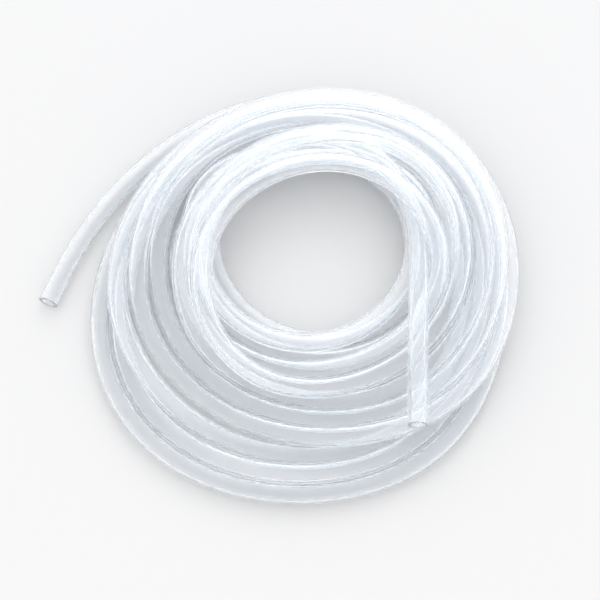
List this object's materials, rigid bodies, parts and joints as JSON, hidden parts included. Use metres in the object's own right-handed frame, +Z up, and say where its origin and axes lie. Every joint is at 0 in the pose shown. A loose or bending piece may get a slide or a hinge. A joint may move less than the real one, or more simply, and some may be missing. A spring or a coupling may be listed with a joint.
{
  "type": "air hose",
  "caption": "Clear plastic air hose wound in a loose flat coil, with both cut ends free.",
  "frame": {"origin": "on the surface that the hose lies on, under the middle of its whole outline", "axes": "+Z up; +X to the right of the picture, along the longest side; +Y away from the viewer"},
  "size_m": [0.1452, 0.131, 0.0188],
  "materials": {
    "clear_hose": "clear, glossy flexible PVC"
  },
  "bodies": {
    "root": {"coil": "clear_hose", "left_end": "clear_hose", "right_end": "clear_hose"}
  },
  "joints": []
}
